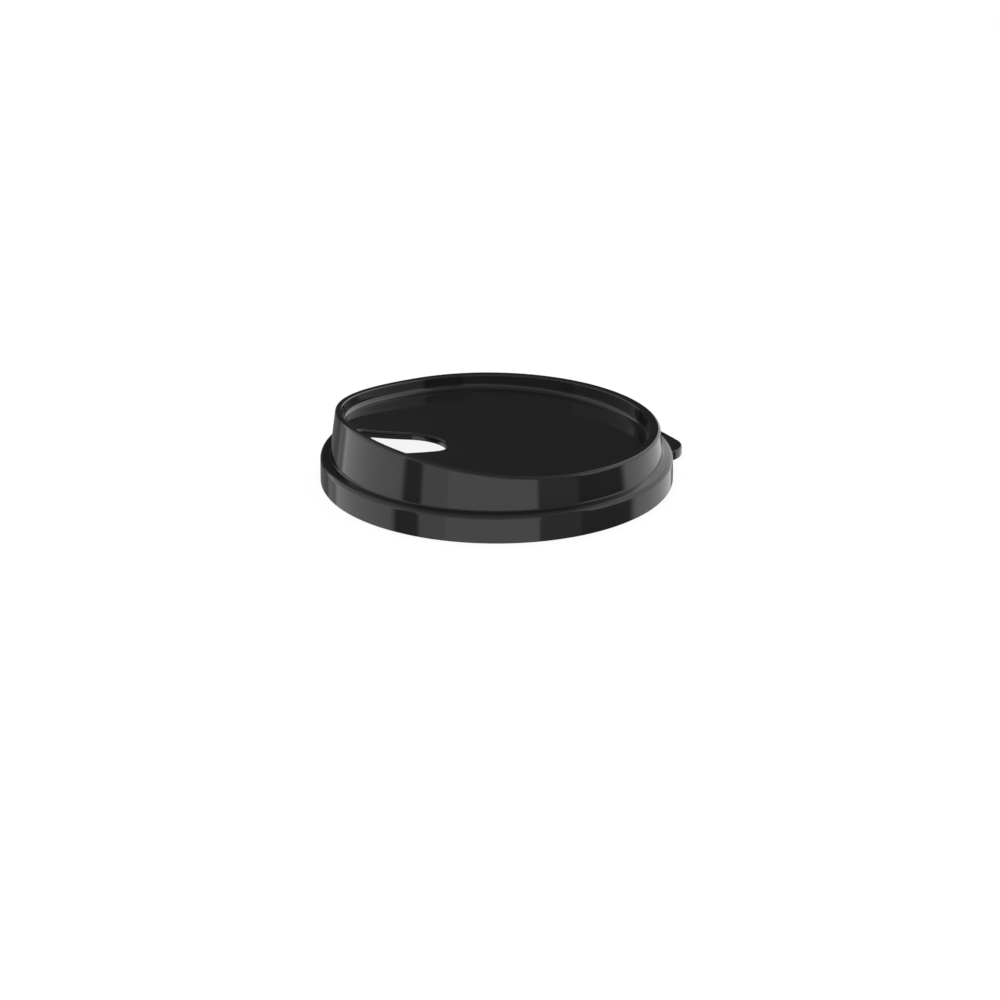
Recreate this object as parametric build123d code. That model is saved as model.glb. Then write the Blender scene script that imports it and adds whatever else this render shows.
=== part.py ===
from build123d import *
from math import atan, cos, hypot, radians, sin, sqrt, tan
import os

os.makedirs("parts", exist_ok=True)

# Cup lid, one moulding of gloss plastic
# Millimetres. +Z up, the skirt's axis is Z and its lower edge is Z 0.
# The pull tab points to +X and the drink opening is at -X.

# Cup rim and the plastic around it
cup_rim_radius = 45.0
rim_play = 0.5
wall = 2.0

# Skirt, from its lower edge up to the flat shelf
skirt_radius = cup_rim_radius + rim_play + wall
skirt_height = 7.5
skirt_draft = 1.5
skirt_foot_round = 0.3
shoulder_round = 1.3

# Wall that carries the lip, set in from the skirt by the shelf
shelf_width = 2.8
upper_wall_radius = skirt_radius - shelf_width
upper_wall_draft = 8.5
upper_wall_foot_round = 0.5

# Deck, a little above the shelf, sloping down to the tab and swept up to the mouth
deck_rise = 3.7
deck_slope = 0.0437
turn_x = -1.6
sweep_radius = 188.0

# Lip around the deck, with the same sweep and less slope
deck_depth = 3.9
lip_slope = 0.024
lip_width = 2.45
lip_outer_round = 0.8
lip_inner_round = 0.45
tray_draft = 2.0
tray_corner_round = 1.6

# Drink opening, a drop with its tip towards the middle and its wide end along the tray corner
drink_land = 1.35
drink_length = 14.6
drink_tip_radius = 7.5
drink_side_angle = 10.0
drink_corner_round = 2.0
drink_edge_round = 0.7
drink_under_round = 0.3

# Pull tab, measured out from the skirt
tab_length = 6.1
tab_half_width = 14.8
tab_corner_round = 7.6
tab_thickness = 2.7
tab_edge_round = 0.35

# Inside of the skirt: a snap land under the groove for the cup's rolled rim
snap_bite = 0.4
snap_land = 1.2
lead_in_height = 0.9
lead_in = 0.8
snap_ramp_height = 1.0
groove_round = 0.6

# Rounds of the room under the deck, as shares of its least height
ceiling_round_share = 0.5
cavity_mouth_round_share = 0.28

# Height and reach of the shapes that are cut off or cut away
high = 36.0
far = 80.0


def moved_in(height, angle):
    """How far a drafted wall moves sideways over a height."""
    return height * tan(radians(angle))


def profile_z(x, height, slope):
    """Height of a side profile at x: a straight fall towards +X from the turn, and an arc that
    leaves it tangentially there and rises towards -X."""
    if x >= turn_x:
        return height - slope * (x - turn_x)
    lean = atan(slope)
    centre_x = turn_x + sweep_radius * sin(lean)
    centre_z = height + sweep_radius * cos(lean)
    return centre_z - sqrt(sweep_radius**2 - (x - centre_x) ** 2)


def below_profile(height, slope):
    """Everything under a side profile, as far as the lid reaches."""
    turn = (turn_x, height)
    middle = (-far / 2, profile_z(-far / 2, height, slope))
    left = (-far, profile_z(-far, height, slope))
    right = (far, profile_z(far, height, slope))
    outline = ThreePointArc(left, middle, turn) + Polyline(
        turn, right, (far, -far), (-far, -far), left
    )
    return extrude(Plane.XZ * make_face(outline), far, both=True)


def on_profile(shape, height, slope, least, most):
    """The curved edges of a shape that lie on a side profile between two radii."""
    found = ShapeList()
    for edge in shape.edges().filter_by(GeomType.LINE, reverse=True):
        spot = edge @ 0.5
        radius = hypot(spot.X, spot.Y)
        if least < radius < most and abs(spot.Z - profile_z(spot.X, height, slope)) < 0.01:
            found.append(edge)
    return found


def turned(points, rounds):
    """A solid turned about Z from (radius, height) points, with some corners rounded."""
    face = make_face(Polyline(*points, close=True))
    for corner, radius in rounds:
        face = fillet(face.vertices().sort_by_distance(Vector(*corner))[0], radius)
    return revolve(Plane.XZ * face, Axis.Z)


# Heights of the deck and the lip at the turn
deck_height = skirt_height + deck_rise
lip_height = deck_height + deck_depth

# Outside of the lid, turned, then cut off along the lip
skirt_shoulder = (skirt_radius - moved_in(skirt_height, skirt_draft), skirt_height)
wall_foot = (upper_wall_radius, skirt_height)
wall_end = (upper_wall_radius - moved_in(high - skirt_height, upper_wall_draft), high)
lid = turned(
    [(0, 0), (skirt_radius, 0), skirt_shoulder, wall_foot, wall_end, (0, high)],
    [
        ((skirt_radius, 0), skirt_foot_round),
        (skirt_shoulder, shoulder_round),
        (wall_foot, upper_wall_foot_round),
    ],
)
lid &= below_profile(lip_height, lip_slope)
lid = fillet(on_profile(lid, lip_height, lip_slope, 0, far), lip_outer_round)

# Pull tab, a thin tongue level with the skirt's lower edge
tab_reach = skirt_radius + tab_length
tab_plan = Rectangle(tab_reach, 2 * tab_half_width, align=(Align.MIN, Align.CENTER))
tab_plan = fillet(tab_plan.vertices().group_by(Axis.X)[-1], tab_corner_round)
tab = extrude(tab_plan, tab_thickness)
tab_rims = tab.edges().filter_by(Axis.Z, reverse=True)
tab = fillet(tab_rims.filter_by_position(Axis.X, 1, far), tab_edge_round)
lid += tab

# Tray above the deck
lip_rise = lip_height - skirt_height
tray_radius = upper_wall_radius - moved_in(lip_rise, upper_wall_draft) - lip_width
tray_foot = (tray_radius - moved_in(lip_height, tray_draft), 0)
tray_end = (tray_radius + moved_in(high - lip_height, tray_draft), high)
tray = turned([(0, 0), tray_foot, tray_end, (0, high)], [])
tray -= below_profile(deck_height, deck_slope)
tray = fillet(on_profile(tray, deck_height, deck_slope, 0, far), tray_corner_round)
lid -= tray
lid = fillet(on_profile(lid, lip_height, lip_slope, 0, tray_radius + 1), lip_inner_round)

# Underside: lead-in, snap land, rim groove, then the room under the shelf and the deck
groove_radius = cup_rim_radius + rim_play
snap_radius = cup_rim_radius - snap_bite
land_low = (snap_radius, lead_in_height)
land_top = (snap_radius, lead_in_height + snap_land)
groove_low = (groove_radius, lead_in_height + snap_land + snap_ramp_height)
groove_top = (groove_radius, skirt_height - wall)
cavity_foot = (upper_wall_radius - wall, skirt_height - wall)
cavity_end = (wall_end[0] - wall, high)
ceiling = deck_height - wall
least_height = profile_z(cavity_foot[0], ceiling, deck_slope) - cavity_foot[1]
cavity = turned(
    [
        (0, 0),
        (snap_radius + lead_in, 0),
        land_low,
        land_top,
        groove_low,
        groove_top,
        cavity_foot,
        cavity_end,
        (0, high),
    ],
    [
        (groove_low, groove_round),
        (groove_top, groove_round),
        (cavity_foot, cavity_mouth_round_share * least_height),
    ],
)
cavity &= below_profile(ceiling, deck_slope)
cavity = fillet(
    on_profile(cavity, ceiling, deck_slope, 0, far), ceiling_round_share * least_height
)
lid -= cavity

# Drink opening
deck_radius = tray_radius - moved_in(deck_depth, tray_draft) - tray_corner_round
drink_reach = deck_radius - drink_land
drink_tip_x = drink_length - drink_reach
side = radians(drink_side_angle)
tangent_x = drink_tip_x + drink_tip_radius * sin(side)
tangent_y = drink_tip_radius * cos(side)
wide_y = tangent_y + (tangent_x + far) * tan(side)
wedge = make_face(
    Polyline(
        (tangent_x, tangent_y),
        (-far, wide_y),
        (-far, -wide_y),
        (tangent_x, -tangent_y),
        close=True,
    )
)
drop = (wedge + Pos(drink_tip_x, 0) * Circle(drink_tip_radius)) & Circle(drink_reach)
drop = fillet(drop.vertices().group_by(Axis.X)[0], drink_corner_round)
lid -= extrude(drop, high)
lid = fillet(
    on_profile(lid, deck_height, deck_slope, drink_tip_radius, drink_reach + 0.1), drink_edge_round
)
lid = fillet(
    on_profile(lid, ceiling, deck_slope, drink_tip_radius, drink_reach + 0.1), drink_under_round
)

lid.label = "lid"
export_step(lid, "parts/lid.step")
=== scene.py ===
# %% [markdown]
# Cup lid in gloss black plastic
# The lid is one moulding: a skirt that snaps over the cup's rim, a flat shelf, a wall with a lip
# that sweeps up to the mouth, a sunken deck with a drop-shaped drink opening, and a pull tab.
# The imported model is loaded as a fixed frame, and everything made here lies in its axes: the
# skirt's axis is Z, its lower edge is Z 0, the tab points to +X and the opening is at -X.
# Blender works in metres. The lid's own sizes are written in millimetres, as on a drawing.

# %% Load the frame
import bpy
import numpy as np
from math import radians, tan
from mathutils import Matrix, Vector


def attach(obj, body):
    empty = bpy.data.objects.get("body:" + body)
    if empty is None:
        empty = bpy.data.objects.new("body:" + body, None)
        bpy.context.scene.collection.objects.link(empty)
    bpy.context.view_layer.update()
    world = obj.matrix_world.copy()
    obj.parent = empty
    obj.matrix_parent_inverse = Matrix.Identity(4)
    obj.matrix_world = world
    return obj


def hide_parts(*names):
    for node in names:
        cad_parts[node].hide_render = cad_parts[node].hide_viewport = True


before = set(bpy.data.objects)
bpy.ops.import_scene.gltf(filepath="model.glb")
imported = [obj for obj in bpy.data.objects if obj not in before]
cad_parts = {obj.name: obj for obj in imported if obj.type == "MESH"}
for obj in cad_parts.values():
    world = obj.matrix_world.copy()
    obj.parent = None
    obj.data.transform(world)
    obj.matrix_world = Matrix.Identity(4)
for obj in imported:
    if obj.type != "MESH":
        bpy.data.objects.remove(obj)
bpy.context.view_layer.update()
MM = 0.001

# %% [markdown]
# One closed surface for the moulding
# The lid has a single hole, so its skin is a closed loop of points, the section, carried once
# around. A solid of revolution would be simpler, but the deck and the lip rise to one side and
# the hole is off centre. So the section is worked out afresh at every angle: it is a chain of
# straight faces, each with a point and an outward normal, and rounds between neighbours.
# The polished surface shows every dent in its reflections, so the rounds are worked out exactly,
# and short loops beside each of them keep the flat faces flat.

# %% Sizes of the lid, in millimetres, with the deck's and the lip's heights at the turn
SKIRT_RADIUS, SKIRT_HEIGHT, SKIRT_DRAFT = 47.5, 7.5, radians(1.5)
WALL_RADIUS, WALL_DRAFT, WALL = 44.7, radians(8.5), 2.0
DECK_HEIGHT, DECK_SLOPE = 11.2, 0.0437
LIP_HEIGHT, LIP_SLOPE, LIP_WIDTH = 15.1, 0.024, 2.45
TURN_X, SWEEP_RADIUS = -1.6, 188.0
TRAY_DRAFT, TRAY_ROUND = radians(2.0), 1.6
TRAY_RADIUS = WALL_RADIUS - (LIP_HEIGHT - SKIRT_HEIGHT) * tan(WALL_DRAFT) - LIP_WIDTH
LIP_MIDDLE = TRAY_RADIUS + LIP_WIDTH / 2
DECK_RADIUS = TRAY_RADIUS - (LIP_HEIGHT - DECK_HEIGHT) * tan(TRAY_DRAFT) - TRAY_ROUND


def side_profile(x, height, slope):
    """Height and slope of the deck or the lip at x: a straight fall to +X from the turn, and a
    tangent arc of the sweep radius that rises to -X."""
    lean = np.arctan(slope)
    centre_x = TURN_X + SWEEP_RADIUS * np.sin(lean)
    centre_z = height + SWEEP_RADIUS * np.cos(lean)
    across = np.minimum(x, TURN_X) - centre_x
    depth = np.sqrt(SWEEP_RADIUS**2 - across**2)
    arc_z, arc_slope = centre_z - depth, across / depth
    straight_part = x > TURN_X
    z = np.where(straight_part, height - slope * (x - TURN_X), arc_z)
    return z, np.where(straight_part, -slope, arc_slope)


print("tray radius", round(TRAY_RADIUS, 2), "deck radius", round(DECK_RADIUS, 2), "mm")
print("lip at the mouth", side_profile(-LIP_MIDDLE, LIP_HEIGHT, LIP_SLOPE)[0].round(2), "mm")

# %% [markdown]
# Rounds between two faces of the section
# A moulding has no sharp corners: the plastic wouldn't fill them, and they would hold it back in
# the mould. A Bevel modifier could make the rounds, but not as exactly as a formula.
# A round of radius R touches both faces, so its centre lies where the two faces, both moved in
# by R, cross. Its points are the centre plus R times a normal that turns from one face's normal
# to the other's. A negative radius gives a hollow round with the same formula.

# %% The rounded corner of two faces
LOOP_GAP = 0.05


def rounded(first, second, radius, steps):
    """Points of the round between two faces, each (t, z, normal_t, normal_z) as arrays over the
    angles: the crossing of both faces moved in by the radius, plus the radius times the normal,
    whose angle goes evenly from the first face's to the second's. One more point lies on each
    face, a loop's gap away from the round."""
    t1, z1, a1, b1 = first
    t2, z2, a2, b2 = second
    reach1 = a1 * t1 + b1 * z1 - radius
    reach2 = a2 * t2 + b2 * z2 - radius
    cross = a1 * b2 - a2 * b1
    centre_t = (reach1 * b2 - reach2 * b1) / cross
    centre_z = (a1 * reach2 - a2 * reach1) / cross
    start = np.arctan2(b1, a1)
    turn = (np.arctan2(b2, a2) - start + np.pi) % (2 * np.pi) - np.pi
    angle = start + turn * np.linspace(0, 1, steps + 1)[:, None]
    t = centre_t + radius * np.cos(angle)
    z = centre_z + radius * np.sin(angle)
    way = np.where(turn > 0, 1.0, -1.0) * np.sign(radius) * LOOP_GAP
    before = np.array([t[0] + way * b1, z[0] - way * a1])
    after = np.array([t[-1] - way * b2, z[-1] + way * a2])
    return np.vstack([before[0], t, after[0]]), np.vstack([before[1], z, after[1]])


square_t, square_z = rounded((0, 0, 0, 1), (0, 0, 1, 0), 1.0, 2)
cut_back = np.hypot(square_t, square_z)[2, 0]
print("a 1 mm round cuts a square corner back by", cut_back.round(2), "mm")

# %% [markdown]
# The drink opening
# It is a drop: a tip arc, two straight sides, and a wide end that follows the tray's corner,
# with small corner arcs. A boolean cut would leave slivers in the polished deck, so the opening
# is a part of the grid. Its outline is drawn as a chain of arcs and lines, then sampled where
# rays from a point inside it meet it, and the deck is spread between the opening and the tray
# without folds.

# %% The outline of the opening
TIP_X, TIP_RADIUS, SIDE_ANGLE = -23.43, 7.5, radians(10.0)
WIDE_RADIUS, CORNER_RADIUS = 38.03, 2.0
RAY_X = -27.0
MIRROR_Y = np.array([1.0, -1.0])


def drop_outline():
    """Dense points and outward normals of the drop, from the middle of the tip round its +Y side
    to the middle of the wide end. Each arc is its centre plus its radius times the normal, and
    on a straight side the normal stays as it is. The corner's centre is one corner radius inside
    both the side and the wide arc."""
    side_normal = np.array([np.sin(SIDE_ANGLE), np.cos(SIDE_ANGLE)])
    tip = np.array([TIP_X, 0.0])
    along = np.array([-side_normal[1], side_normal[0]])
    offset = tip + (TIP_RADIUS - CORNER_RADIUS) * side_normal
    inner = WIDE_RADIUS - CORNER_RADIUS
    b, c = offset @ along, offset @ offset - inner**2
    corner = offset + (-b + np.sqrt(b * b - c)) * along
    side_angle, wide_angle = np.pi / 2 - SIDE_ANGLE, np.arctan2(corner[1], corner[0])
    # Centre, radius, first angle, last angle and number of points of each arc
    arcs = [
        (tip, TIP_RADIUS, 0.0, side_angle, 200),
        (corner, CORNER_RADIUS, side_angle, wide_angle, 120),
        (np.zeros(2), WIDE_RADIUS, wide_angle, np.pi, 200),
    ]
    points, normals = [], []
    for centre, radius, low, high, count in arcs:
        angle = np.linspace(low, high, count)
        normal = np.stack([np.cos(angle), np.sin(angle)], 1)
        points.append(centre + radius * normal)
        normals.append(normal)
    return np.vstack(points), np.vstack(normals)


half_points, half_normals = drop_outline()
outline = np.vstack([(half_points * MIRROR_Y)[::-1], half_points])
outline_normals = np.vstack([(half_normals * MIRROR_Y)[::-1], half_normals])
ray_angle = np.unwrap(np.arctan2(outline[:, 1], outline[:, 0] - RAY_X))
print("opening", np.ptp(outline, 0).round(1), "mm long and wide")

# %% [markdown]
# The section, worked out at every angle at once
# Angles are arrays and the section is a second dimension, so no loop goes over the points.
# Outside the deck the section lies in a plane through the axis. At the opening it lies square
# to the outline. The deck and the ceiling under it are spread in straight lines between both.
# The angles stand closer together at the mouth, where the opening has its small arcs.

# %% Angles, and the two kinds of face
AROUND, CROWDING, HALF_TURN = 600, 0.25, np.pi
even = np.linspace(0, 2 * np.pi, AROUND, endpoint=False)
theta = HALF_TURN + (even - CROWDING * np.sin(even))
cos_t, sin_t = np.cos(theta), np.sin(theta)
one = np.ones_like(theta)


def level(t, height, slope, direction_x, base_x, up):
    """A face that follows the side profile, seen in a section whose direction has the given x
    part: at distance t its height is the profile's, and its normal is square to the slope. Up is
    1 for a face that looks up and -1 for one that looks down."""
    z, rise = side_profile(base_x + t * direction_x, height, slope)
    lean = np.arctan(rise * direction_x)
    return t, z, -up * np.sin(lean), up * np.cos(lean)


def straight(t, z, angle):
    """A face of revolution through (t, z) whose outward normal stands this angle above the way
    out from the axis."""
    return t * one, z * one, np.cos(angle) * one, np.sin(angle) * one


step = np.degrees(np.diff(theta))
print(AROUND, "angles,", step.min().round(2), "to", step.max().round(2), "degrees apart")

# %% [markdown]
# The shelf's slight fall
# The photographed lid's shelf isn't quite level: it falls outwards, and more so near the tab.
# With a level shelf, a dark line shows at the wall's foot there that the photo doesn't have. The
# fall is a smooth step of the cosine of the angle from the tab, and moves the surface by less
# than half a millimetre.

# %% Faces from the deck over the lip and down the outside
deck_edge = level(DECK_RADIUS * one, DECK_HEIGHT, DECK_SLOPE, cos_t, 0.0, 1)
tray_wall = straight(TRAY_RADIUS, LIP_HEIGHT, HALF_TURN - TRAY_DRAFT)
lip = level(LIP_MIDDLE * one, LIP_HEIGHT, LIP_SLOPE, cos_t, 0.0, 1)
outer_wall = straight(WALL_RADIUS, SKIRT_HEIGHT, WALL_DRAFT)
FALL_START, FALL_SPAN, LEAST_FALL, TAB_FALL, SHELF_DROP = -0.26, 0.6, 2.0, 13.0, 0.05
near_tab = np.clip((cos_t - FALL_START) / FALL_SPAN, 0, 1)
shelf_fall = np.radians(LEAST_FALL + TAB_FALL * near_tab**2 * (3 - 2 * near_tab))
shelf = straight(WALL_RADIUS, SKIRT_HEIGHT - SHELF_DROP, np.pi / 2 - shelf_fall)
skirt = straight(SKIRT_RADIUS, 0.0, SKIRT_DRAFT)
lower_edge = straight(SKIRT_RADIUS, 0.0, -np.pi / 2)
print("shelf falls by", np.degrees([shelf_fall.min(), shelf_fall.max()]).round(1), "degrees")

# %% [markdown]
# The underside
# The cup's rim is pushed up past a lead-in and a tight land, over a ramp, and sits in the groove
# under the shelf. The wall above leans in as the outside does, and the ceiling under the deck
# follows the deck one wall's thickness lower. All of it is in the same chain of faces, so that
# the lid shows its real thickness through the opening and from below.

# %% Faces of the underside, from the way in up to the ceiling
SNAP_RADIUS, GROOVE_RADIUS = 44.6, 45.5
LEAD_IN, LAND_FOOT, LAND_TOP, RAMP_RISE = 0.8, 0.9, 2.1, 1.0
lead_in = straight(SNAP_RADIUS, LAND_FOOT, np.arctan2(LEAD_IN, LAND_FOOT) - HALF_TURN)
land = straight(SNAP_RADIUS, LAND_TOP, HALF_TURN)
ramp_lean = np.arctan2(GROOVE_RADIUS - SNAP_RADIUS, RAMP_RISE)
ramp = straight(SNAP_RADIUS, LAND_TOP, HALF_TURN - ramp_lean)
groove = straight(GROOVE_RADIUS, SKIRT_HEIGHT - WALL, HALF_TURN)
under_shelf = straight(GROOVE_RADIUS, SKIRT_HEIGHT - WALL, -np.pi / 2)

# The wall's inside moves in as far as its outside, up to the height to which both are drawn
DRAWN_TO, CEILING_ROUND, CAVITY_HEIGHT = 36.0, 0.88, 4.0
drawn = DRAWN_TO - SKIRT_HEIGHT
inner_draft = np.arctan(drawn * tan(WALL_DRAFT) / (drawn + WALL))
inner_wall = straight(WALL_RADIUS - WALL, SKIRT_HEIGHT - WALL, inner_draft - HALF_TURN)
ceiling_radius = WALL_RADIUS - WALL - CAVITY_HEIGHT * tan(inner_draft) - CEILING_ROUND
ceiling = level(ceiling_radius * one, DECK_HEIGHT - WALL, DECK_SLOPE, cos_t, 0.0, -1)
print("ceiling from", ceiling[1].min().round(2), "to", ceiling[1].max().round(2), "mm high")

# %% Rounds outside the deck, from the tray's corner over the lip and down to the ceiling
LIP_INNER_ROUND, LIP_OUTER_ROUND, WALL_FOOT_ROUND = 0.45, 0.8, 0.4
SHOULDER_ROUND, SKIRT_FOOT_ROUND, LEAD_ROUND = 1.3, 0.3, 0.04
LAND_ROUND, GROOVE_ROUND, CAVITY_ROUND = 0.08, 0.6, 0.49
# Both faces, the radius, which is negative in a hollow corner, and the steps of each round
chain = [
    (deck_edge, tray_wall, -TRAY_ROUND, 10),
    (tray_wall, lip, LIP_INNER_ROUND, 6),
    (lip, outer_wall, LIP_OUTER_ROUND, 8),
    (outer_wall, shelf, -WALL_FOOT_ROUND, 6),
    (shelf, skirt, SHOULDER_ROUND, 10),
    (skirt, lower_edge, SKIRT_FOOT_ROUND, 4),
    (lower_edge, lead_in, LEAD_ROUND, 2),
    (lead_in, land, LAND_ROUND, 2),
    (land, ramp, LAND_ROUND, 2),
    (ramp, groove, -GROOVE_ROUND, 4),
    (groove, under_shelf, -GROOVE_ROUND, 6),
    (under_shelf, inner_wall, CAVITY_ROUND, 6),
    (inner_wall, ceiling, -CEILING_ROUND, 8),
]
rounds = [rounded(*corner) for corner in chain]
outer_t = np.vstack([t for t, z in rounds])
outer_z = np.vstack([z for t, z in rounds])
outer = np.stack([outer_t * cos_t, outer_t * sin_t, outer_z], 2)
print("section outside the deck:", len(outer), "points")

# %% Where the ray towards each point of the deck's edge meets the opening's outline
ring = np.arctan2(DECK_RADIUS * sin_t, DECK_RADIUS * cos_t - RAY_X)
ring = np.where(ring < ray_angle[0], ring + 2 * np.pi, ring)
ring = np.where(ring > ray_angle[-1], ring - 2 * np.pi, ring)
rim_x, rim_y = (np.interp(ring, ray_angle, outline[:, i]) for i in (0, 1))
out_x, out_y = (np.interp(ring, ray_angle, outline_normals[:, i]) for i in (0, 1))
length = np.hypot(out_x, out_y)
out_x, out_y = out_x / length, out_y / length
print("opening's rim runs from x", rim_x.min().round(2), "to", rim_x.max().round(2), "mm")

# %% Rounds at the opening, from its lower rim up its wall and onto the deck
TOP_ROUND, UNDER_ROUND, DECK_LOOPS = 0.7, 0.3, 14
hole_wall = straight(0.0, 0.0, HALF_TURN)
deck_rim = level(TOP_ROUND * one, DECK_HEIGHT, DECK_SLOPE, out_x, rim_x, 1)
ceiling_rim = level(UNDER_ROUND * one, DECK_HEIGHT - WALL, DECK_SLOPE, out_x, rim_x, -1)
low_t, low_z = rounded(ceiling_rim, hole_wall, UNDER_ROUND, 4)
top_t, top_z = rounded(hole_wall, deck_rim, TOP_ROUND, 8)
hole_t, hole_z = np.vstack([low_t, top_t]), np.vstack([low_z, top_z])
hole = np.stack([rim_x + hole_t * out_x, rim_y + hole_t * out_y, hole_z], 2)


def spread_between(start, end, height):
    """Loops of points in straight lines in plan from one ring to another, without the ends.
    Their height is the side profile's at their x."""
    share = np.linspace(0, 1, DECK_LOOPS + 2)[1:-1, None, None]
    plan = start[:, :2] + share * (end[:, :2] - start[:, :2])
    return np.dstack([plan, side_profile(plan[..., 0], height, DECK_SLOPE)[0]])


deck = spread_between(hole[-1], outer[0], DECK_HEIGHT)
under_deck = spread_between(outer[-1], hole[0], DECK_HEIGHT - WALL)
lid_grid = np.vstack([deck, outer, under_deck, hole])
print("lid grid", lid_grid.shape[:2])

# %% [markdown]
# The pull tab
# It is a flat tongue at the foot of the skirt. Its outline is half of a rounded rectangle and
# its section is a thin bar with rounded edges, carried along that outline. A bevelled block
# would do as well, but this way its edge round is as exact as the lid's. The inner end stays
# inside the skirt's wall, where nobody can see it.

# %% The tab's outline
TAB_REACH, TAB_HALF, TAB_CORNER, TAB_THICK, TAB_EDGE = 53.6, 14.8, 7.6, 2.7, 0.35
ROOT_RADIUS = 46.6
SIDE_POINTS, CORNER_POINTS, FRONT_POINTS = 4, 28, 6


def tab_outline():
    """Points and normals from one root to the other: a short side along X, a quarter circle,
    the straight front, then the same mirrored."""
    centre = np.array([TAB_REACH - TAB_CORNER, TAB_HALF - TAB_CORNER])
    root_x = np.sqrt(ROOT_RADIUS**2 - TAB_HALF**2)
    angle = np.linspace(np.pi / 2, 0, CORNER_POINTS)
    normal = np.stack([np.cos(angle), np.sin(angle)], 1)
    arc = centre + TAB_CORNER * normal
    side_x = np.linspace(root_x, centre[0], SIDE_POINTS + 1)[:-1]
    side = np.stack([side_x, np.full(SIDE_POINTS, TAB_HALF)], 1)
    front_y = np.linspace(centre[1], 0, FRONT_POINTS + 1)[1:]
    front = np.stack([np.full(FRONT_POINTS, TAB_REACH), front_y], 1)
    side_normal = np.tile([0.0, 1.0], (SIDE_POINTS, 1))
    front_normal = np.tile([1.0, 0.0], (FRONT_POINTS, 1))
    half = np.vstack([side, arc, front])
    half_normal = np.vstack([side_normal, normal, front_normal])
    points = np.vstack([half, (half * MIRROR_Y)[-2::-1]])
    return points, np.vstack([half_normal, (half_normal * MIRROR_Y)[-2::-1]])


tab_points, tab_normals = tab_outline()
print("tab outline", len(tab_points), "points,", np.ptp(tab_points, 0).round(1), "mm")

# %% The tab's section, carried along the outline
ROOT_IN, ROOT_DEEP, FLAT_IN, EDGE_POINTS = 0.6, 0.2, 0.45, 6
root_y = np.linspace(TAB_HALF - ROOT_IN, ROOT_IN - TAB_HALF, len(tab_points))
root = np.stack([np.sqrt(ROOT_RADIUS**2 - root_y**2) - ROOT_DEEP, root_y], 1)
edge = np.linspace(0, np.pi / 2, EDGE_POINTS)
edge_in = TAB_EDGE * (1 - np.cos(edge))
edge_down = TAB_EDGE * (1 - np.sin(edge))
inset = np.concatenate([[FLAT_IN], edge_in[::-1], edge_in, [FLAT_IN]])
tab_z = np.concatenate([[0.0], edge_down[::-1], TAB_THICK - edge_down, [TAB_THICK]])
rim = tab_points[None] - inset[:, None, None] * tab_normals[None]
bar_xy = np.concatenate([root[None], rim, root[None]])
bar_z = np.concatenate([[0.0], tab_z, [TAB_THICK]])[:, None, None] * np.ones((1, len(root), 1))
tab_grid = np.concatenate([bar_xy, bar_z], 2)
print("tab grid", tab_grid.shape[:2])

# %% [markdown]
# One mesh
# The lid is one piece of plastic, so the lid's grid and the tab's go into one mesh. A boolean
# union would cut slivers into the polished skirt. The tab's root simply ends inside the wall,
# and each of the two shells is closed.


# %% Make the mesh
def grid_faces(rows, columns, start, close_columns):
    """Quads of a grid whose rows close on themselves, and whose columns do if asked: each joins
    a point with the next in its row, the next in its column and the one across."""
    row = np.arange(rows)[:, None]
    column = np.arange(columns if close_columns else columns - 1)[None]
    after_row, after_column = (row + 1) % rows, (column + 1) % columns
    corners = [(row, column), (after_row, column), (after_row, after_column), (row, after_column)]
    return start + np.stack([r * columns + c for r, c in corners], 2).reshape(-1, 4)


def tab_ends(rows, columns, start):
    """The two end faces of the tab, one polygon each."""
    first = start + np.arange(rows) * columns
    return [first[::-1].tolist(), (first + columns - 1).tolist()]


points = np.vstack([lid_grid.reshape(-1, 3), tab_grid.reshape(-1, 3)]) * MM
lid_rows, tab_rows = lid_grid.shape[0], tab_grid.shape[0]
tab_columns, tab_start = tab_grid.shape[1], lid_rows * AROUND
faces = grid_faces(lid_rows, AROUND, 0, True).tolist()
faces += grid_faces(tab_rows, tab_columns, tab_start, False).tolist()
faces += tab_ends(tab_rows, tab_columns, tab_start)
mesh = bpy.data.meshes.new("lid_moulding")
mesh.from_pydata(points.tolist(), [], faces)
mesh.shade_smooth()
mesh.update()
mesh.validate()
lid = bpy.data.objects.new("lid_moulding", mesh)
bpy.context.scene.collection.objects.link(lid)
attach(lid, "root")
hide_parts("lid")
print("lid mesh", len(mesh.polygons), "faces")

# %% [markdown]
# Shader maths as plain expressions
# A material is a tree of nodes, and a line for each node and link is hard to read. A small class
# wraps an output socket, so that a sum or a product in Python adds the Math node for it. Any
# other node comes from one method, with the values or links of its sockets by name or number.


# %% A node tree, and a socket that can be added, multiplied and divided
class Tree:
    """The node tree of a material or a world."""

    def __init__(self, owner):
        owner.use_nodes = True
        self.nodes, self.links = owner.node_tree.nodes, owner.node_tree.links
        self.nodes.clear()

    def add(self, kind, settings=(), output=0, **sockets):
        """Add a node. A socket's name has _ for a blank, and _0, _1 and so on are numbers."""
        node = self.nodes.new(kind)
        for name, value in dict(settings).items():
            setattr(node, name, value)
        for name, value in sockets.items():
            key = int(name[1:]) if name[1:].isdigit() else name.replace("_", " ")
            if isinstance(value, Value):
                self.links.new(value.socket, node.inputs[key])
            else:
                node.inputs[key].default_value = value
        return Value(self, node.outputs[output]) if node.outputs else node

    def math(self, operation, *values):
        """Add a Math node for numbers and values."""
        sockets = {f"_{i}": value for i, value in enumerate(values)}
        return self.add("ShaderNodeMath", {"operation": operation}, **sockets)


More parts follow.
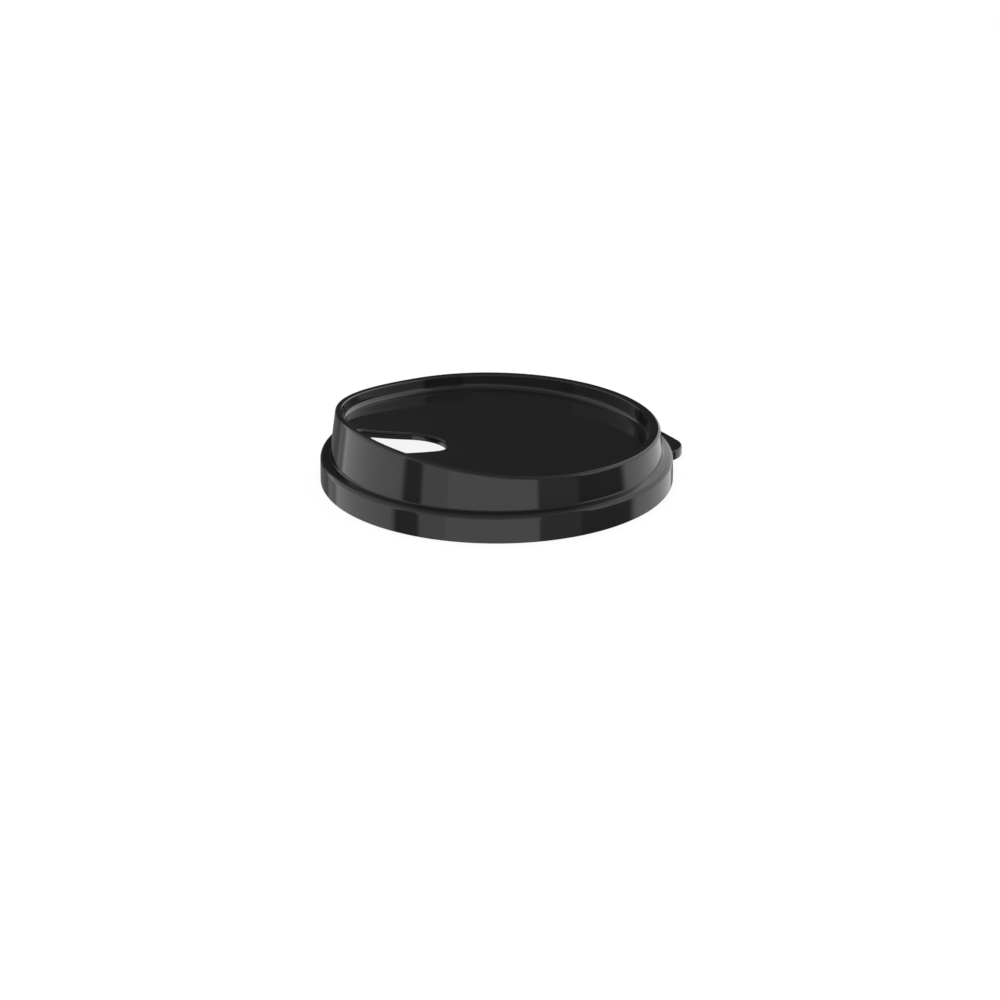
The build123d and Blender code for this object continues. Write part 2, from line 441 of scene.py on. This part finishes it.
class Value:
    """An output socket. Adding, multiplying or dividing it adds a Math node."""

    def __init__(self, tree, socket):
        self.tree, self.socket = tree, socket

    def output(self, key):
        """Another output of the same node."""
        return Value(self.tree, self.socket.node.outputs[key])

    def __add__(self, other):
        return self.tree.math("ADD", self, other)

    def __mul__(self, other):
        return self.tree.math("MULTIPLY", self, other)

    def __truediv__(self, other):
        return self.tree.math("DIVIDE", self, other)

    __radd__, __rmul__ = __add__, __mul__


def grey(strength):
    """A colour without a hue."""
    return (strength, strength, strength, 1.0)


print("white is", grey(1.0))

# %% [markdown]
# Gloss black plastic
# The mould was polished, so the surface is nearly a mirror at grazing angles and deep black
# elsewhere. A moulding is never perfectly even: the gloss changes a little in broad cloudy
# patches with fine specks in them, and the skin has a very faint flow ripple. One roughness and
# no ripple would be simpler, but looks like a drawing. Noise on Object coordinates stays in
# place on the lid, and its scale is the number of patches in a metre.

# %% The plastic
plastic = bpy.data.materials.new("gloss_black_plastic")
tree = Tree(plastic)
where = tree.add("ShaderNodeTexCoord", output="Object")
cloud = tree.add("ShaderNodeTexNoise", Vector=where, Scale=60.0, Detail=3.0)
speck = tree.add("ShaderNodeTexNoise", Vector=where, Scale=900.0, Detail=2.0)
ripple = tree.add("ShaderNodeTexNoise", Vector=where, Scale=120.0, Detail=1.0)
LEAST_ROUGH, CLOUD_ROUGH, SPECK_ROUGH = 0.05, 0.04, 0.02
roughness = LEAST_ROUGH + CLOUD_ROUGH * cloud + SPECK_ROUGH * speck
shade = tree.add(
    "ShaderNodeBsdfPrincipled",
    Base_Color=(0.0125, 0.0125, 0.013, 1.0),
    Roughness=roughness,
    IOR=1.5,
    Normal=tree.add("ShaderNodeBump", Height=ripple, Strength=0.02, Distance=0.0002),
)
tree.add("ShaderNodeOutputMaterial", Surface=shade)
lid.data.materials.append(plastic)
print("plastic has", len(tree.nodes), "nodes")

# %% [markdown]
# The camera
# It stands where the photo was taken from: half a metre away, 21 degrees above the table, with
# the tab behind and to the right. Its place was found by fitting the lid's circles and curves to
# the photo, which tells the angles well and the distance hardly at all. Turning the lid instead
# of the camera would be as good for one picture, but the lid keeps the frame's own axes.

# %% Camera at the photo's viewing angle
FOCAL_PIXELS, PICTURE_PIXELS, SENSOR_MM = 1847.0, 1000.0, 36.0
DISTANCE_MM, ELEVATION, TAB_TURN = 500.0, radians(21.43), radians(28.5)
AIM_SIDE, AIM_DOWN = radians(0.109), radians(0.815)


def turned(x, y, z):
    """A direction of the photo's own frame, X right and Y away, turned about Z by the tab's turn
    into the lid's frame."""
    c, s = np.cos(TAB_TURN), np.sin(TAB_TURN)
    return Vector((c * x + s * y, c * y - s * x, z))


camera_data = bpy.data.cameras.new("photo_camera")
camera_data.sensor_width = SENSOR_MM
camera_data.lens = FOCAL_PIXELS * SENSOR_MM / PICTURE_PIXELS
camera_data.clip_start, camera_data.clip_end = 0.05, 20.0
camera = bpy.data.objects.new("photo_camera", camera_data)
bpy.context.scene.collection.objects.link(camera)
camera.location = turned(0.0, -np.cos(ELEVATION), np.sin(ELEVATION)) * DISTANCE_MM * MM
down = ELEVATION + AIM_DOWN
forward = turned(np.sin(AIM_SIDE) * np.cos(down), np.cos(AIM_SIDE) * np.cos(down), -np.sin(down))
camera.rotation_mode = "QUATERNION"
camera.rotation_quaternion = forward.to_track_quat("-Z", "Y")
bpy.context.scene.camera = camera
print("camera at", [round(v, 3) for v in camera.location])

# %% [markdown]
# The floor
# The lid lies on a plain pale floor that melts into a white background. A camera ray meets a
# floor that is mostly its own white and partly lit, so it stays white and keeps a soft shadow
# at the skirt's foot. All other light meets an ordinary pale floor. Gloss doesn't see it: the
# walls lean so little that the floor would fill all of their reflections, and on the real lid
# they show the lamps and the dark gaps between them. The floor lies a fiftieth of a millimetre
# under the lid, so that it doesn't share a plane with the lid's lower edge.

# %% A wide flat floor
FLOOR_HALF, FLOOR_DROP = 3.0, 0.02 * MM
FLOOR_LIT, FLOOR_OWN, FLOOR_PALE = 0.12, 0.9, 0.85
corner = np.array([[-1, -1], [1, -1], [1, 1], [-1, 1]]) * FLOOR_HALF
corner = np.column_stack([corner, np.full(4, -FLOOR_DROP)])
floor_mesh = bpy.data.meshes.new("pale_floor")
floor_mesh.from_pydata(corner.tolist(), [], [(0, 1, 2, 3)])
floor = bpy.data.objects.new("pale_floor", floor_mesh)
bpy.context.scene.collection.objects.link(floor)
floor.visible_glossy = False
pale = bpy.data.materials.new("pale_floor")
tree = Tree(pale)
seen = tree.add("ShaderNodeLightPath", output="Is Camera Ray")
lit = tree.add("ShaderNodeBsdfDiffuse", Color=grey(FLOOR_LIT))
white = tree.add("ShaderNodeEmission", Color=grey(1.0), Strength=FLOOR_OWN)
backdrop = tree.add("ShaderNodeAddShader", _0=lit, _1=white)
plain = tree.add("ShaderNodeBsdfDiffuse", Color=grey(FLOOR_PALE))
mixed = tree.add("ShaderNodeMixShader", Fac=seen, _1=plain, _2=backdrop)
tree.add("ShaderNodeOutputMaterial", Surface=mixed)
floor_mesh.materials.append(pale)
print("floor is", 2 * FLOOR_HALF, "m wide")

# %% [markdown]
# The studio around the lid
# Gloss black plastic shows almost nothing but its surroundings, so these are drawn with care: a
# wide soft box at the right that hangs down to the table there, another at the left, a third in
# front with a narrow neighbour, and dark room between them and behind. They could be lit cards,
# but as parts of the world's own light they have no edge that a low camera could see. Each is a
# window of directions: the cosine of the angle to its middle, seen from above, between two soft
# limits. Its strength goes with height, in straight steps.
# The boxes' places and strengths were worked back from the photo: a ray is followed from the
# camera to the lid and on to where the plastic mirrors, and the photo's brightness there, over
# the share that the plastic mirrors, is how bright the room must be on that side. The boxes are
# a plain version of that. So the bands fit the photo from its own side by design, and from
# other sides they only show what such a studio would give.


# %% Windows of directions
def window(tree, toward, middle, half, soft, taper):
    """One where the direction, seen from above, lies within half the width of the middle, and
    none beyond: a smooth step of the cosine of the angle between them, over the softness on both
    sides. All three are in degrees. Below the level, the taper times the sine of the height
    makes the window narrower."""
    flat_x, flat_y, low = toward
    side = turned(np.cos(radians(middle)), np.sin(radians(middle)), 0.0)
    near = flat_x * side.x + flat_y * side.y
    if taper:
        near = near + low * taper
    return tree.add(
        "ShaderNodeMapRange",
        {"interpolation_type": "SMOOTHSTEP"},
        Value=near,
        From_Min=np.cos(radians(half + soft)),
        From_Max=np.cos(radians(half - soft)),
    )


def by_height(tree, rise, stops):
    """A strength that goes through (degrees above level, strength) stops in straight steps of
    the sine of the height."""
    total = stops[0][1]
    for (low, first), (high, second) in zip(stops, stops[1:]):
        total = total + tree.add(
            "ShaderNodeMapRange",
            Value=rise,
            From_Min=np.sin(radians(low)),
            From_Max=np.sin(radians(high)),
            To_Min=0.0,
            To_Max=second - first,
        )
    return total


print("the picture's right is", [round(v, 2) for v in turned(1.0, 0.0, 0.0)], "on the lid")

# %% The soft boxes: middle, half width, softness and taper, then height and strength
BOXES = {
    "right box": (
        (23.0, 54.0, 3.0, 0.0),
        [(-5, 0.0), (1, 1.1), (12, 1.2), (36, 1.15), (48, 0.75), (62, 0.0)],
    ),
    "right box, low part": (
        (37.5, 36.5, 3.5, 0.17),
        [(-32, 0.8), (-15, 1.1), (-6, 1.1), (0, 0.0)],
    ),
    "left box": (
        (172.5, 35.0, 2.5, 0.17),
        [(-32, 0.95), (-12, 1.2), (4, 1.1), (35, 0.7), (52, 0.3), (64, 0.0)],
    ),
    "left box, soft side": (
        (137.5, 6.0, 4.0, 0.0),
        [(-32, 0.4), (-10, 0.3), (5, 0.25), (40, 0.3), (60, 0.0)],
    ),
    "front box": (
        (-92.5, 29.5, 1.3, 0.0),
        [(-32, 1.12), (-10, 1.22), (0, 1.12), (16, 0.6), (45, 0.35), (62, 0.0)],
    ),
    "narrow box": (
        (-131.25, 9.25, 1.3, 0.0),
        [(-32, 0.85), (-8, 0.97), (5, 0.78), (40, 0.45), (60, 0.0)],
    ),
    "between the narrow and the left box": (
        (-147.0, 6.5, 1.5, 0.0),
        [(-5, 0.05), (1, 0.7), (40, 0.4), (60, 0.0)],
    ),
    "dim wall": ((-48.9, 14.1, 1.3, 0.0), [(-30, 0.2), (12, 0.22), (40, 0.4), (60, 0.0)]),
    "far wall": ((117.0, 17.0, 5.0, 0.0), [(-32, 0.1), (-15, 0.05), (-3, 0.0)]),
}
ROOM = [(-30, 0.14), (-15, 0.12), (-2, 0.1), (10, 0.03), (25, 0.03), (45, 0.2), (60, 0.24)]
print("studio has", len(BOXES), "boxes")

# %% [markdown]
# Who sees what of the world
# Only gloss sees the drawn boxes. Every other ray sees a plain white world: at full strength for
# what the camera sees directly or through something, and at four fifths for the light itself.
# The boxes could light the lid too, but then each change of a reflection would change the light
# on the floor, and a level world shows a colour about as it is written.

# %% The world
NEVER_ZERO, EVEN_LEVEL = 1e-6, 0.8
world = bpy.data.worlds.new("studio")
bpy.context.scene.world = world
tree = Tree(world)
# In a world, Generated is the direction in which a ray looks
parts = tree.add("ShaderNodeSeparateXYZ", Vector=tree.add("ShaderNodeTexCoord"))
x_part, y_part, rise = (parts.output(i) for i in range(3))
level_length = tree.math("SQRT", x_part * x_part + y_part * y_part + NEVER_ZERO)
toward = x_part / level_length, y_part / level_length, tree.math("MINIMUM", rise, 0.0)
strength = by_height(tree, rise, ROOM)
for place, stops in BOXES.values():
    strength = strength + window(tree, toward, *place) * by_height(tree, rise, stops)
studio = tree.add("ShaderNodeBackground", Color=grey(1.0), Strength=strength)
seen = tree.add("ShaderNodeLightPath", output="Is Camera Ray")
gloss, through = seen.output("Is Glossy Ray"), seen.output("Is Transmission Ray")
level_white = EVEN_LEVEL + tree.math("MAXIMUM", seen, through) * (1.0 - EVEN_LEVEL)
white = tree.add("ShaderNodeBackground", Color=grey(1.0), Strength=level_white)
mixed = tree.add("ShaderNodeMixShader", Fac=gloss, _1=white, _2=studio)
tree.add("ShaderNodeOutputWorld", Surface=mixed)
print("world has", len(tree.nodes), "nodes")

# %% [markdown]
# A soft lamp overhead
# The level world gives most of the light, but light that is the same from all sides looks flat.
# A broad lamp overhead gives the rest, like the big soft light over a photo table. A small lamp
# would be simpler to place, but its shadow has a hard edge. Gloss doesn't see the lamp, because
# the drawn boxes are all that the plastic is to mirror.

# %% The overhead lamp
LAMP_SIDE, LAMP_HEIGHT, LAMP_WATTS = 1.4, 1.3, 5.0
lamp_data = bpy.data.lights.new("overhead", "AREA")
lamp_data.shape, lamp_data.size, lamp_data.energy = "SQUARE", LAMP_SIDE, LAMP_WATTS
lamp = bpy.data.objects.new("overhead", lamp_data)
lamp.location = (0.0, 0.0, LAMP_HEIGHT)
lamp.visible_glossy = False
bpy.context.scene.collection.objects.link(lamp)
bpy.context.scene.view_settings.view_transform = "Standard"
print("lamp of", lamp_data.energy, "W,", LAMP_HEIGHT, "m up")
